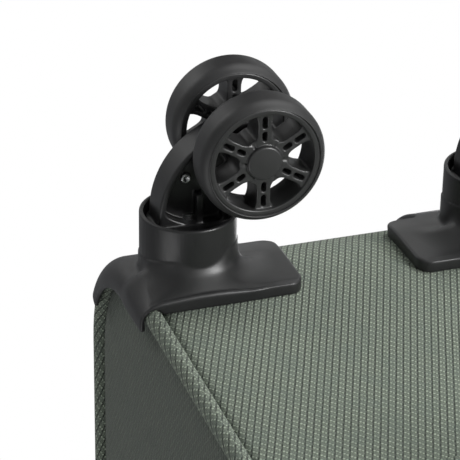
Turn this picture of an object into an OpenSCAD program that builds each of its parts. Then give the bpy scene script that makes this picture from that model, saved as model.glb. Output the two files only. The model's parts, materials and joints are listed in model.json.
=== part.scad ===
// Softside upright suitcase on four twin-wheel swivel casters.
// It stands upright on its wheels: +Z up, front lid at -Y, back panel at +Y, +X to the right.
// The origin is on the floor under the middle of the whole object.
// Casters are drawn in their own frame first: x points inboard along the width, y points to
// the front, z points down to the floor, and the zero is where the swivel axis meets the fabric.

/* [Case] */
// Width of the fabric body
body_w = 400; // [360:1:440]
// Height of the fabric body, without wheels and handles
body_h = 447; // [420:1:560]
// Depth between the centres of the front and back piping
body_d = 200; // [190:1:260]
// Outer radius of the four upright corners
corner_r = 52.4; // [40:0.1:60]
// Thickness of the padded fabric walls
wall = 4; // [3:0.5:5]
// Radius of the piping cord
piping_r = 3.5; // [2.5:0.1:4]
// How far the piping centre sits inside the outer skin
piping_in = 1.5; // [1:0.1:2]
// Depth of the lid, from the zip to the front piping
lid_depth = 22; // [20:1:40]

/* [Casters] */
// Wheel radius
wheel_r = 25; // [22:0.5:28]
// Tyre width
tyre_w = 17; // [14:0.5:18]
// Radius of the tyre's rounded shoulders
shoulder_r = 5.25; // [3:0.25:6]
// Distance between the middles of the twin wheels
wheel_gap = 34.8; // [33:0.1:38]
// How far the axle trails behind the swivel axis
trail = 22.4; // [18:0.1:26]
// Height of the fabric bottom above the axle
axle_drop = 58; // [54:0.5:64]
// Outer radius of the housing collar
collar_r = 19.1; // [18:0.1:22]
// Distance from the side of the body to the swivel axis
swivel_in = 51.4; // [48:0.1:56]
// Distance from the back piping to the rear swivel axis
rear_in = 21.5; // [21:0.1:26]
// Distance from the zip to the front swivel axis
front_in = 28; // [28:1:40]

/* [Telescopic handle] */
// Distance between the middles of the two tubes
tube_gap = 156; // [140:1:170]
// Travel of each of the two stages
stage_travel = 240; // [200:5:240]
// Outer radius of the fixed tubes
tube_r = 11; // [10.5:0.1:12]

/* [Carry handles] */
// Length of a carry handle, tab to tab
carry_l = 184; // [170:1:200]
// Width of a carry handle
carry_w = 32; // [26:1:36]
// Height of the top of a carry handle above the fabric
carry_h = 18; // [17:0.5:22]
// How far a carry handle lifts in its anchors
carry_lift = 8; // [5:0.5:8]

/* [Pockets] */
// Width of both front pockets
pocket_w = 326; // [300:1:340]
// Height of the lower pocket
lower_h = 216; // [180:1:230]
// Height of the upper pocket
upper_h = 112; // [90:1:130]
// How far the lower pocket stands off the lid
lower_d = 17; // [10:1:20]
// How far the upper pocket stands off the lid
upper_d = 11; // [8:1:14]

/* [Hidden] */
$fn = 96;
eps = 0.01;
free = 0.3;                          // clearance between parts that move past each other
run = 0.05;                          // radial clearance of a turning fit
black = [0.12, 0.12, 0.12];
rubber = [0.22, 0.22, 0.22];
cloth = [0.40, 0.45, 0.39];
dark_cloth = [0.22, 0.25, 0.22];
alloy = [0.72, 0.72, 0.74];
steel = [0.62, 0.62, 0.64];
board = [0.16, 0.16, 0.16];

body_z = wheel_r + axle_drop;        // the fabric bottom
body_top = body_z + body_h;
body_mid = body_z + body_h / 2;
side = body_w / 2;
half_d = body_d / 2;
seam_y = half_d - piping_r;          // where the fabric ends against the piping
panel_y = half_d + 1;                // outer face of the front and back panels
panel_in = piping_in + piping_r;     // how far the panels' edge is inside the skin
zip_y = -(half_d - lid_depth);
zip_half = 5;                        // half the width of the zip
zip_split = 0.2;                     // half the gap between the two zip halves
axis_x = side - swivel_in;
rear_y = half_d - rear_in;
front_y = zip_y + front_in;
arc_b = corner_r - swivel_in;        // where the round corner starts, in the caster frame

frame_t = 2;
frame_in = wall + 0.1;
lining_in = 9;
lining_t = 1.2;
lining_back = 68;
tube_y = 81;
tube_wall = 1.2;
mid_r = tube_r - tube_wall - free;
inner_r = mid_r - tube_wall - free;
bezel_x = 98;
bezel_front = 41;
bezel_back = 94;
bezel_deep = 20;
flange_t = 3;
tray_x = 60;
grip_gap = 0.5;
grip_z = body_top + flange_t + grip_gap;
grip_h = 16;
grip_half_d = 10;
button_travel = 3;

rest_gap = 0.2;                      // gap between pieces that only lie on each other
pocket_y = -panel_y - rest_gap;
pocket_r = 26;
lower_z = body_z + 34;
upper_z = lower_z + lower_h + 26;
slider_l = 12;
puller_l = 26;
slider_h = 3.6;
main_slider_x = 96;
pocket_slider_x = pocket_w / 2 - 24;

lip_out = 27.5;                      // outer face of the lip behind the rear piping
lip_low = 6.5;                       // how far the lip reaches up the back panel
plate_t = 5.3;
plate_in = 26;                       // inboard end of the housing
plate_front = 40;                    // front end of the housing
plate_arc = 67;                      // degrees that the housing wraps round the corner
front_end = 17;                      // rounded back end of a front housing

mid_x = (carry_h - (piping_r - piping_in)) / 2;
back_most = rear_y + lip_out;
front_most = -pocket_y + lower_d + slider_h + rest_gap;
mid_y = (back_most - front_most) / 2;

// ---- helpers ----

// Colours a piece and moves it so that the origin is under the middle of the whole object.
module piece(c) {
    color(c) translate([-mid_x, -mid_y, 0]) children();
}

// Rectangle with true round corners, centred.
module round_rect(w, h, r) {
    square([w - 2 * r, h], center = true);
    square([w, h - 2 * r], center = true);
    for (x = [-1, 1], y = [-1, 1]) {
        translate([x * (w / 2 - r), y * (h / 2 - r)]) circle(r);
    }
}

// The body's outline, moved in by a distance, extruded along the depth.
module body_slab(inset, y0, y1) {
    translate([0, y1, body_mid])
        rotate([90, 0, 0])
            linear_extrude(y1 - y0)
                round_rect(body_w - 2 * inset, body_h - 2 * inset, corner_r - inset);
}

// A band that follows the body's outline.
module body_band(inset, t, y0, y1) {
    difference() {
        body_slab(inset, y0, y1);
        body_slab(inset + t, y0 - 1, y1 + 1);
    }
}

// A round cord that follows the body's outline.
module body_cord(y, inset, r) {
    x = side - corner_r;
    z = body_h / 2 - corner_r;
    path_r = corner_r - inset;
    translate([0, y, body_mid]) {
        for (s = [-1, 1]) {
            translate([-x, 0, s * (z + path_r)]) rotate([0, 90, 0]) cylinder(r = r, h = 2 * x);
            translate([s * (x + path_r), 0, -z]) cylinder(r = r, h = 2 * z);
        }
        for (i = [0 : 3]) {
            translate([(i == 0 || i == 3) ? x : -x, 0, i < 2 ? z : -z])
                rotate([90, 0, 0])
                    rotate([0, 0, i * 90])
                        rotate_extrude(angle = 90) translate([path_r, 0]) circle(r);
        }
    }
}

// Puts a part drawn in the caster frame at one of the four casters.
module at_caster(left, rear) {
    mirror([left ? 0 : 1, 0, 0])
        translate([-axis_x, rear ? rear_y : front_y, body_z])
            rotate([180, 0, 0]) children();
}

// The front housings are mirror images of the rear ones.
module at_housing(left, rear) {
    at_caster(left, rear) mirror([0, rear ? 0 : 1, 0]) children();
}

// ---- case ----

screw_spots = [[20, -10], [20, 33], [5, 33], [5, -10]];

module screw_holes(r, low, high) {
    for (left = [true, false], rear = [true, false]) {
        at_housing(left, rear) {
            for (p = screw_spots) {
                translate([p[0], p[1], low]) cylinder(r = r, h = high - low);
            }
        }
    }
}

module bezel_hole(slack) {
    x = bezel_x + slack;
    y0 = bezel_front - slack;
    translate([-x, y0, body_top - 2 * bezel_deep])
        cube([2 * x, bezel_back + slack - y0, 4 * bezel_deep]);
}

module gusset() {
    piece(cloth) difference() {
        body_band(0, wall, zip_y + zip_half, seam_y);
        screw_holes(1.7, -10, 1);
        bezel_hole(0.5);
    }
}

module back_panel() {
    piece(dark_cloth) body_slab(panel_in, panel_y - wall, panel_y);
}

module back_piping() {
    piece(cloth) body_cord(half_d, piping_in, piping_r);
}

module back_board() {
    piece(board) body_slab(panel_in + frame_t, panel_y - wall - 2.6, panel_y - wall - 0.1);
}

module frame_band() {
    piece(board) difference() {
        body_band(frame_in, frame_t, zip_y + zip_half + 2, panel_y - wall - 2.8);
        screw_holes(1.7, -10, 1);
        bezel_hole(0.5);
    }
}

// The lining's walls; its back wall hides the telescopic tubes.
module lining() {
    y0 = zip_y + zip_half + 1;
    piece(dark_cloth) difference() {
        body_band(lining_in, lining_t, y0, lining_back);
        bezel_hole(1);
    }
}

module lining_back_wall() {
    piece(dark_cloth) difference() {
        body_slab(lining_in + lining_t + rest_gap, lining_back - lining_t, lining_back);
        bezel_hole(1);
    }
}

module main_zip_case() {
    piece(black) body_band(1, 2, zip_y + zip_split, zip_y + zip_half - eps);
}

module main_zip_lid() {
    piece(black) body_band(1, 2, zip_y - zip_half + eps, zip_y - zip_split);
}

module housing_screws() {
    piece(steel) {
        screw_holes(1.6, -frame_in - frame_t - 0.1, 4);
        screw_holes(3.2, -frame_in - frame_t - 1.9, -frame_in - frame_t - 0.1);
    }
}

// ---- lid ----

module lid_gusset() {
    piece(cloth) body_band(0, wall, -seam_y, zip_y - zip_half);
}

module front_panel() {
    piece(cloth) body_slab(panel_in, -panel_y, wall - panel_y);
}

module front_piping() {
    piece(cloth) body_cord(-half_d, piping_in, piping_r);
}

module pocket(z, h, d) {
    translate([0, pocket_y, z + h / 2])
        rotate([90, 0, 0])
            linear_extrude(d) round_rect(pocket_w, h, pocket_r);
}

module lower_pocket() {
    piece(cloth) pocket(lower_z, lower_h, lower_d);
}

module upper_pocket() {
    piece(cloth) pocket(upper_z, upper_h, upper_d);
}

// ---- zip sliders: drawn lying in the xy plane, sliding along x, puller towards +y ----

module zip_slider() {
    difference() {
        union() {
            translate([-slider_l / 2, -4.2, 0]) cube([slider_l, 8.4, 2.2]);
            translate([-1.2, -3, 2.2 - eps]) cube([2.4, 7, slider_h - 2.2 + eps]);
        }
        translate([-slider_l / 2 - 1, -0.5, -1]) cube([4, 1, 4]);
    }
    translate([-3.2, 4, 1.2]) difference() {
        union() {
            translate([0, -1.5, 0]) cube([6.4, puller_l - 3.2, 1.4]);
            translate([3.2, puller_l - 4.7, 0]) cylinder(r = 3.2, h = 1.4);
        }
        translate([3.2, puller_l - 4.7, -1]) cylinder(r = 1.4, h = 4);
    }
}

module zip_slider_left() {
    piece(steel) translate([main_slider_x, zip_y, body_top + rest_gap])
        zip_slider();
}

module zip_slider_right() {
    piece(steel) translate([main_slider_x + slider_l + 3, zip_y, body_top + rest_gap])
        mirror([1, 0, 0]) zip_slider();
}

module pocket_slider(z, d) {
    translate([pocket_slider_x, pocket_y - d - rest_gap, z])
        rotate([90, 0, 0]) mirror([0, 1, 0]) zip_slider();
}

module lower_pocket_slider() {
    piece(steel) pocket_slider(lower_z + lower_h - 22, lower_d);
}

module upper_pocket_slider() {
    piece(steel) pocket_slider(upper_z + upper_h - 20, upper_d);
}

// ---- telescopic handle ----

module tube_pair(r, t, z0, z1) {
    for (s = [-1, 1]) {
        translate([s * tube_gap / 2, tube_y, z0]) difference() {
            cylinder(r = r, h = z1 - z0);
            translate([0, 0, -1]) cylinder(r = r - t, h = z1 - z0 + 2);
        }
    }
}

module tube_bores(r, z0, z1) {
    for (s = [-1, 1]) {
        translate([s * tube_gap / 2, tube_y, z0]) cylinder(r = r, h = z1 - z0);
    }
}

module outer_tubes() {
    piece(alloy) tube_pair(tube_r, tube_wall, body_z + lining_in + 4, body_top - bezel_deep);
}

module middle_tubes() {
    top = body_top + flange_t - 0.4;
    piece(alloy) tube_pair(mid_r, tube_wall, top - stage_travel - 160, top);
}

module inner_tubes() {
    piece(alloy)
        tube_pair(inner_r, tube_wall, grip_z - stage_travel - 140, grip_z + grip_h / 2);
}

module bezel() {
    depth = bezel_back - bezel_front;
    tray_y = bezel_front + 5;
    piece(black) difference() {
        union() {
            translate([-bezel_x, bezel_front, body_top - bezel_deep])
                cube([2 * bezel_x, depth, bezel_deep + flange_t]);
            translate([-bezel_x - 3, bezel_front - 3, body_top + 0.1])
                cube([2 * bezel_x + 6, depth + 5, flange_t - 0.1]);
        }
        translate([-tray_x, tray_y, body_top - bezel_deep + 2])
            cube([2 * tray_x, bezel_back - 3 - tray_y, bezel_deep + flange_t]);
        tube_bores(mid_r + free, body_top - bezel_deep - 1, body_top + flange_t + 1);
    }
}

// The grip is a bar with half-round ends over the two tubes.
module grip() {
    piece(black) difference() {
        translate([0, tube_y, grip_z]) linear_extrude(grip_h) {
            square([tube_gap, 2 * grip_half_d], center = true);
            for (s = [-1, 1]) {
                translate([s * tube_gap / 2, 0]) circle(grip_half_d + 1.5);
            }
        }
        tube_bores(inner_r, grip_z - 1, grip_z + grip_h / 2);
        translate([-18, tube_y - 6, grip_z + grip_h - 8]) cube([36, 12, 9]);
    }
}

module button() {
    gap = free;
    piece(rubber)
        translate([-18 + gap, tube_y - 6 + gap, grip_z + grip_h - 8 + button_travel + gap])
            cube([36 - 2 * gap, 12 - 2 * gap, 8 - button_travel]);
}

// ---- carry handles: drawn along x, on the plane z = 0 ----

tab_z = 1.5;
tab_t = 4;
anchor_l = 28;
strap_t = 8;

module carry_handle() {
    half = carry_l / 2;
    low = carry_h - strap_t;
    inner = half - 22;
    rotate([90, 0, 0]) linear_extrude(carry_w, center = true) difference() {
        polygon([
            [-half, tab_z], [half, tab_z], [half, tab_z + tab_t], [inner, tab_z + tab_t],
            [inner - 13, carry_h], [13 - inner, carry_h], [-inner, tab_z + tab_t],
            [-half, tab_z + tab_t]
        ]);
        polygon([
            [3 - inner, tab_z - 1], [inner - 3, tab_z - 1], [inner - 3, tab_z],
            [inner - 17, low], [17 - inner, low], [3 - inner, tab_z]
        ]);
    }
}

module carry_anchors() {
    half = carry_l / 2;
    w = carry_w + 5;
    h = carry_h - 3;
    slot_h = tab_t + carry_lift + 2 * free;
    for (s = [-1, 1]) mirror([s > 0 ? 0 : 1, 0, 0]) difference() {
        translate([half - 18, -w / 2, 0.1]) cube([anchor_l, w, h + 1]);
        translate([half - 18 - 1, -carry_w / 2 - free, tab_z - free])
            cube([19 + free, carry_w + 2 * free, slot_h]);
    }
}

handle_y = -14;

module on_top() {
    translate([0, handle_y, body_top]) children();
}

module on_side() {
    translate([side, 15, body_mid]) rotate([0, 90, 0]) children();
}

module top_handle() {
    piece(black) on_top() carry_handle();
}

module side_handle() {
    piece(black) on_side() carry_handle();
}

module handle_anchors() {
    piece(black) {
        on_top() carry_anchors();
        on_side() carry_anchors();
    }
}

// ---- casters, in the caster frame ----

cup_floor = 22.7;
collar_top = 30.05;
mound_low = 4.5;
mound_top = 17.5;
cup_r = 17.3;
disc_r = 16.5;
pin_r = 4;
axle_r = 3;
axle_in = 6.5;                       // how far the axle passes the middle of each wheel
axle_z = axle_drop;
fork_half = 7.2;
web_half = 2.5;

// Sections of the housing across the body's edge: x to the front, y outward from the fabric.
// The rear one hooks over the piping and ends in a lip on the back panel.
module rear_section() {
    round_r = 10;
    difference() {
        union() {
            translate([round_r - lip_out, -lip_low])
                square([plate_front + lip_out - round_r, plate_t + lip_low]);
            translate([round_r - lip_out, plate_t - round_r]) circle(round_r);
            translate([-lip_out, -lip_low]) square([round_r, plate_t - round_r + lip_low]);
        }
        translate([-rear_in - piping_r - 0.3, -20]) square([plate_front + 80, 20]);
        translate([-rear_in, -piping_in]) circle(piping_r + 0.3);
        translate([-lip_out - 20, -lip_low - 20]) square([plate_front + 80, 20]);
    }
}

// The front one is a flat plate with a rounded edge towards the zip.
module front_section() {
    translate([-front_end, 0]) square([plate_front + front_end, plate_t]);
    intersection() {
        translate([-front_end, 0]) circle(plate_t);
        translate([-front_end - plate_t, 0]) square([plate_t + 1, plate_t]);
    }
}

module saddle_section(rear) {
    if (rear) {
        rear_section();
    } else {
        front_section();
    }
}

// The fabric body's own space, cut away from the housing.
module body_space() {
    translate([arc_b, -60, -corner_r]) rotate([-90, 0, 0]) cylinder(r = corner_r, h = 140);
    translate([arc_b, -60, -60]) cube([80, 140, 60]);
}

// What the plate keeps in plan: the far front corner is cut back in a curve.
module plate_plan() {
    translate([-80, -40, -70]) cube([80 + plate_in, 64, 110]);
    translate([-4, 20, -70]) cube([plate_in + 4, 20, 110]);
    translate([-4, 30, -70]) cylinder(r = 10, h = 110);
    translate([-14, 20, -70]) cube([20, 10, 110]);
}

module saddle(rear) {
    intersection() {
        union() {
            translate([arc_b, 0, 0]) rotate([90, 0, 90])
                linear_extrude(plate_in - arc_b) saddle_section(rear);
            translate([arc_b, 0, -corner_r]) rotate([90, 0, 90]) rotate([90, 0, 90])
                rotate([0, 0, -plate_arc]) rotate_extrude(angle = plate_arc)
                    translate([corner_r, 0]) mirror([1, -1, 0]) saddle_section(rear);
        }
        plate_plan();
    }
}

// The mound that carries the collar, steep on its inboard side.
module mound() {
    intersection() {
        translate([0, 0, mound_low])
            cylinder(r1 = plate_in + 0.3, r2 = collar_r + 0.3, h = mound_top - mound_low);
        translate([2, -20, 0]) cube([plate_in - 2.2, 50, 30]);
    }
}

module housing(rear) {
    difference() {
        union() {
            saddle(rear);
            mound();
            difference() {
                translate([0, 0, -16]) cylinder(r = collar_r, h = collar_top + 16);
                body_space();
            }
        }
        translate([0, 0, cup_floor]) cylinder(r = cup_r, h = 20);
        translate([0, 0, 6]) cylinder(r = pin_r, h = 30);
        for (p = screw_spots) {
            translate([p[0], p[1], -20]) cylinder(r = 1.6, h = 24);
        }
    }
}

module housing_rear_left() {
    piece(black) at_housing(true, true) housing(true);
}

module housing_rear_right() {
    piece(black) at_housing(false, true) housing(true);
}

module housing_front_left() {
    piece(black) at_housing(true, false) housing(false);
}

module housing_front_right() {
    piece(black) at_housing(false, false) housing(false);
}

module swivel_pins() {
    piece(steel) {
        for (left = [true, false], rear = [true, false]) {
            at_caster(left, rear) translate([0, 0, 6]) cylinder(r = pin_r, h = 23.5);
        }
    }
}

// The fork's outline from the side: x to the front, y down to the floor.
arm_r = 37.1;
arm_centre = [23.3, 29.4];
boss_r = 8.4;
hollow_centre = [35, 37];
hollow_r = 22;

module fork_outline(in) {
    difference() {
        intersection() {
            translate(arm_centre) circle(arm_r - in);
            translate([-20, cup_floor + 5]) square([trail + 20, 40]);
        }
        translate(hollow_centre) circle(hollow_r + in);
    }
}

module fork_pocket() {
    difference() {
        fork_outline(2.2);
        translate([trail, axle_z]) circle(boss_r + 1.8);
        translate([-20, 10]) square([60, 21.2]);
        translate([1, 30]) square([3, 10]);
    }
}

module fork() {
    difference() {
        union() {
            translate([0, 0, cup_floor + free]) cylinder(r = disc_r, h = 6.7);
            intersection() {
                translate([-fork_half, 0, 0]) rotate([90, 0, 90])
                    linear_extrude(2 * fork_half) fork_outline(0);
                union() {
                    translate([0, 0, 20]) cylinder(r = disc_r, h = 60);
                    translate([-10, 0, 40]) cube([20, 40, 40]);
                }
            }
            translate([-fork_half, trail, axle_z]) rotate([0, 90, 0])
                cylinder(r = boss_r, h = 2 * fork_half);
        }
        for (s = [-1, 1]) {
            translate([s > 0 ? web_half : -fork_half - 1, 0, 0]) rotate([90, 0, 90])
                linear_extrude(fork_half - web_half + 1) fork_pocket();
        }
        translate([0, 0, 20]) cylinder(r = pin_r + run, h = 9.8);
        translate([-20, trail, axle_z]) rotate([0, 90, 0]) cylinder(r = axle_r, h = 40);
    }
    // The round-headed screw that closes the fork, seen in both pockets.
    for (s = [0, 1]) mirror([s, 0, 0])
        translate([web_half - eps, -2, 45]) rotate([0, 90, 0]) cylinder(r = 2, h = 1.3);
}

module axle() {
    half = wheel_gap / 2 + axle_in;
    translate([-half, trail, axle_z]) rotate([0, 90, 0]) cylinder(r = axle_r, h = 2 * half);
}

module at_wheel(out) {
    translate([out ? -wheel_gap / 2 : wheel_gap / 2, trail, axle_z])
        rotate([0, out ? -90 : 90, 0]) children();
}

rim_r = 22;
rim_in = 19.8;
hub_r = 6.9;
spoke_w = 5.4;

// Tyre, drawn round the z axis.
module tyre() {
    rotate_extrude() difference() {
        union() {
            translate([0, shoulder_r - tyre_w / 2]) square([wheel_r, tyre_w - 2 * shoulder_r]);
            translate([0, -tyre_w / 2]) square([wheel_r - shoulder_r, tyre_w]);
            for (s = [-1, 1]) {
                translate([wheel_r - shoulder_r, s * (tyre_w / 2 - shoulder_r)])
                    circle(shoulder_r);
            }
        }
        translate([-wheel_r, -tyre_w]) square([wheel_r + rim_r, 2 * tyre_w]);
    }
}

// Six slotted spokes between the hub and the rim.
module rim() {
    difference() {
        union() {
            difference() {
                translate([0, 0, -7.2]) cylinder(r = rim_r, h = 14.6);
                translate([0, 0, -10]) cylinder(r = rim_in, h = 20);
            }
            translate([0, 0, -7.9]) cylinder(r = hub_r, h = 15.6);
            for (i = [0 : 5]) {
                rotate([0, 0, 60 * i])
                    translate([hub_r - 1.5, -spoke_w / 2, -5.5])
                        cube([rim_in - hub_r + 2.2, spoke_w, 11.7]);
            }
        }
        for (i = [0 : 5]) {
            rotate([0, 0, 60 * i]) {
                translate([8.4, -1, -10]) cube([4, 2, 20]);
                translate([13.9, -1, -10]) cube([4.7, 2, 20]);
            }
        }
        translate([0, 0, -10]) cylinder(r = axle_r + run, h = 10 + axle_in + free);
    }
}

module caster_fork(left, rear) {
    piece(black) at_caster(left, rear) fork();
}

module caster_axle(left, rear) {
    piece(steel) at_caster(left, rear) axle();
}

module caster_tyre(left, rear, out) {
    piece(rubber) at_caster(left, rear) at_wheel(out) tyre();
}

module caster_rim(left, rear, out) {
    piece(black) at_caster(left, rear) at_wheel(out) rim();
}

module fork_rear_left() { caster_fork(true, true); }
module axle_rear_left() { caster_axle(true, true); }
module tyre_rear_left_in() { caster_tyre(true, true, false); }
module rim_rear_left_in() { caster_rim(true, true, false); }
module tyre_rear_left_out() { caster_tyre(true, true, true); }
module rim_rear_left_out() { caster_rim(true, true, true); }

module fork_rear_right() { caster_fork(false, true); }
module axle_rear_right() { caster_axle(false, true); }
module tyre_rear_right_in() { caster_tyre(false, true, false); }
module rim_rear_right_in() { caster_rim(false, true, false); }
module tyre_rear_right_out() { caster_tyre(false, true, true); }
module rim_rear_right_out() { caster_rim(false, true, true); }

module fork_front_left() { caster_fork(true, false); }
module axle_front_left() { caster_axle(true, false); }
module tyre_front_left_in() { caster_tyre(true, false, false); }
module rim_front_left_in() { caster_rim(true, false, false); }
module tyre_front_left_out() { caster_tyre(true, false, true); }
module rim_front_left_out() { caster_rim(true, false, true); }

module fork_front_right() { caster_fork(false, false); }
module axle_front_right() { caster_axle(false, false); }
module tyre_front_right_in() { caster_tyre(false, false, false); }
module rim_front_right_in() { caster_rim(false, false, false); }
module tyre_front_right_out() { caster_tyre(false, false, true); }
module rim_front_right_out() { caster_rim(false, false, true); }

gusset();
back_panel();
back_piping();
back_board();
frame_band();
lining();
lining_back_wall();
main_zip_case();
handle_anchors();
bezel();
outer_tubes();
housing_screws();
swivel_pins();
housing_rear_left();
housing_rear_right();
housing_front_left();
housing_front_right();
lid_gusset();
front_panel();
front_piping();
main_zip_lid();
lower_pocket();
upper_pocket();
middle_tubes();
inner_tubes();
grip();
button();
top_handle();
side_handle();
zip_slider_left();
zip_slider_right();
lower_pocket_slider();
upper_pocket_slider();
fork_rear_left();
axle_rear_left();
tyre_rear_left_in();
rim_rear_left_in();
tyre_rear_left_out();
rim_rear_left_out();
fork_rear_right();
axle_rear_right();
tyre_rear_right_in();
rim_rear_right_in();
tyre_rear_right_out();
rim_rear_right_out();
fork_front_left();
axle_front_left();
tyre_front_left_in();
rim_front_left_in();
tyre_front_left_out();
rim_front_left_out();
fork_front_right();
axle_front_right();
tyre_front_right_in();
rim_front_right_in();
tyre_front_right_out();
rim_front_right_out();
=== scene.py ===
"""Softside upright suitcase: the looks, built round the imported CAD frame. Metres, +Z up."""
import json
import math

import bmesh
import bpy
import numpy as np
from mathutils import Matrix, Vector


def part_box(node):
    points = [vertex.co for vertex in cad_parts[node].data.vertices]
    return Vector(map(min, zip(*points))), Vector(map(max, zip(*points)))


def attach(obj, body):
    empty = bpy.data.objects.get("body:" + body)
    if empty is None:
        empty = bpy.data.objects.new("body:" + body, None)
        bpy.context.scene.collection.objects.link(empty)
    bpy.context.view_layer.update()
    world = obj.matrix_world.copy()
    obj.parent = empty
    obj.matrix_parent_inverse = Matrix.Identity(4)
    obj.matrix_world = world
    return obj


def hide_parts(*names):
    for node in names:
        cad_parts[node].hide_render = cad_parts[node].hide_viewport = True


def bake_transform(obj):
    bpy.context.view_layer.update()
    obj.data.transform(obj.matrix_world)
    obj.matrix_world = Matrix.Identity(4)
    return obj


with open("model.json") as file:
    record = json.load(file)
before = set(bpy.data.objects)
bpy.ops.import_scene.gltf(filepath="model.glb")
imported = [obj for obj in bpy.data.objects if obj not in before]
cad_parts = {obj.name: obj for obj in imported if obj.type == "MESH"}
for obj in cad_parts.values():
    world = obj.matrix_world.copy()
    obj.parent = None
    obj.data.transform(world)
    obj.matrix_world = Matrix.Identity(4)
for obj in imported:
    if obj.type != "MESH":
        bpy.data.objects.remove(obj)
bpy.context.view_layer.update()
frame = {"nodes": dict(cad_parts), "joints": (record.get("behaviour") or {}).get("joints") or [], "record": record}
MM = 0.001
JOINTS = {j["name"]: j for j in frame["joints"]}


def box_mm(node):
    """A CAD node's lowest and highest corners in millimetres, as numpy arrays."""
    low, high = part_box(node)
    return np.array(low) / MM, np.array(high) / MM


def show(name, data):
    """A new object in the scene that holds the data."""
    thing = bpy.data.objects.new(name, data)
    bpy.context.scene.collection.objects.link(thing)
    return thing


def finish_piece(thing, body, slot, *nodes):
    """The body that a piece rides on, its material slot (not used), and the CAD nodes that it stands for."""
    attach(thing, body)
    if nodes:
        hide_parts(*nodes)
    return thing


# ---- places and sizes, all in millimetres, read from the frame ----
GUSSET_LOW, GUSSET_HIGH = box_mm("gusset")
LID_LOW, LID_HIGH = box_mm("lid_gusset")
PANEL_HIGH = box_mm("back_panel")[1]
FRONT_LOW = box_mm("front_panel")[0]
MID_X = (GUSSET_LOW[0] + GUSSET_HIGH[0]) / 2
MID_Z = (GUSSET_LOW[2] + GUSSET_HIGH[2]) / 2
HALF_W = (GUSSET_HIGH[0] - GUSSET_LOW[0]) / 2
HALF_H = (GUSSET_HIGH[2] - GUSSET_LOW[2]) / 2
BODY_BOTTOM = GUSSET_LOW[2]
BODY_TOP = GUSSET_HIGH[2]
CORNER_R = 52.4
PIPING_R = 3.5
PIPING_IN = 1.5
TYRE_R = 25.0
PIVOTS = {}
for end in ("rear", "front"):
    for hand in ("left", "right"):
        key = f"{end}_{hand}"
        PIVOTS[key] = np.array(JOINTS["swivel_" + key]["pos_m"]) / MM


# ---- camera, light and floor ----
CAMERA_FROM_FOOT = (744.44, 241.65, -436.35)    # from where the rear left caster meets the body
CAMERA_RIGHT = (0.32098, -0.94697, -0.01502)
CAMERA_BACK = (0.83426, 0.29021, -0.46882)      # against the way the camera looks


def make_camera():
    """A long lens from below and behind, rolled so that the wheels are up in the picture."""
    pivot = PIVOTS["rear_left"]
    foot = Vector((pivot[0], pivot[1], BODY_BOTTOM))
    eye = (foot + Vector(CAMERA_FROM_FOOT)) * MM
    right, back = Vector(CAMERA_RIGHT), Vector(CAMERA_BACK)
    up = back.cross(right)
    data = bpy.data.cameras.new("camera")
    data.sensor_width = 36.0
    data.lens = 178.2
    data.clip_end = 20.0
    camera = show("camera", data)
    turn = Matrix((right, up, back)).transposed().to_4x4()
    camera.matrix_world = Matrix.Translation(eye) @ turn
    bpy.context.scene.camera = camera


def area_light(name, place, target, size, power):
    data = bpy.data.lights.new(name, "AREA")
    data.shape = "DISK"
    data.size = size
    data.energy = power
    lamp = show(name, data)
    lamp.location = place
    lamp.rotation_euler = (Vector(target) - Vector(place)).to_track_quat("-Z", "Y").to_euler()


def make_lights():
    bpy.context.scene.view_settings.view_transform = "Standard"
    area_light("low_key", (-0.25, -0.55, -0.95), (-0.1, 0.0, 0.1), 0.6, 11.0)
    area_light("low_side", (0.8, -0.6, -0.36), (-0.12, 0.06, 0.06), 0.26, 13.0)
    area_light("low_rim", (-0.9, 0.55, -0.65), (-0.14, 0.08, 0.05), 0.5, 3.0)
    area_light("top_key", (0.9, -1.1, 1.7), (0.0, 0.0, 0.28), 1.3, 26.0)
    area_light("top_fill", (-1.3, -0.9, 1.1), (0.0, 0.0, 0.28), 1.4, 14.0)
    area_light("back_fill", (0.7, 1.5, 1.2), (0.0, 0.0, 0.28), 1.4, 9.0)


def fresh_nodes(tree, *kinds):
    """Empties a node tree and gives it one new node of each kind."""
    tree.nodes.clear()
    return [tree.nodes.new("ShaderNode" + kind) for kind in kinds]


def make_world():
    """White to the camera, and a softer grey as a light."""
    world = bpy.data.worlds.new("world")
    bpy.context.scene.world = world
    world.use_nodes = True
    out, mix, soft, white, path = fresh_nodes(
        world.node_tree, "OutputWorld", "MixShader", "Background", "Background", "LightPath")
    soft.inputs[0].default_value = (0.95, 0.97, 1.0, 1.0)
    soft.inputs[1].default_value = 0.24
    white.inputs[0].default_value = (1.0, 1.0, 1.0, 1.0)
    white.inputs[1].default_value = 1.0
    link = world.node_tree.links.new
    link(path.outputs["Is Camera Ray"], mix.inputs[0])
    link(soft.outputs[0], mix.inputs[1])
    link(white.outputs[0], mix.inputs[2])
    link(mix.outputs[0], out.inputs[0])


FLOOR_HALF = 4.0            # metres from the middle to each side
FLOOR_FADE = (0.7, 2.4)     # metres from the middle, where it starts and ends to fade


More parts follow.
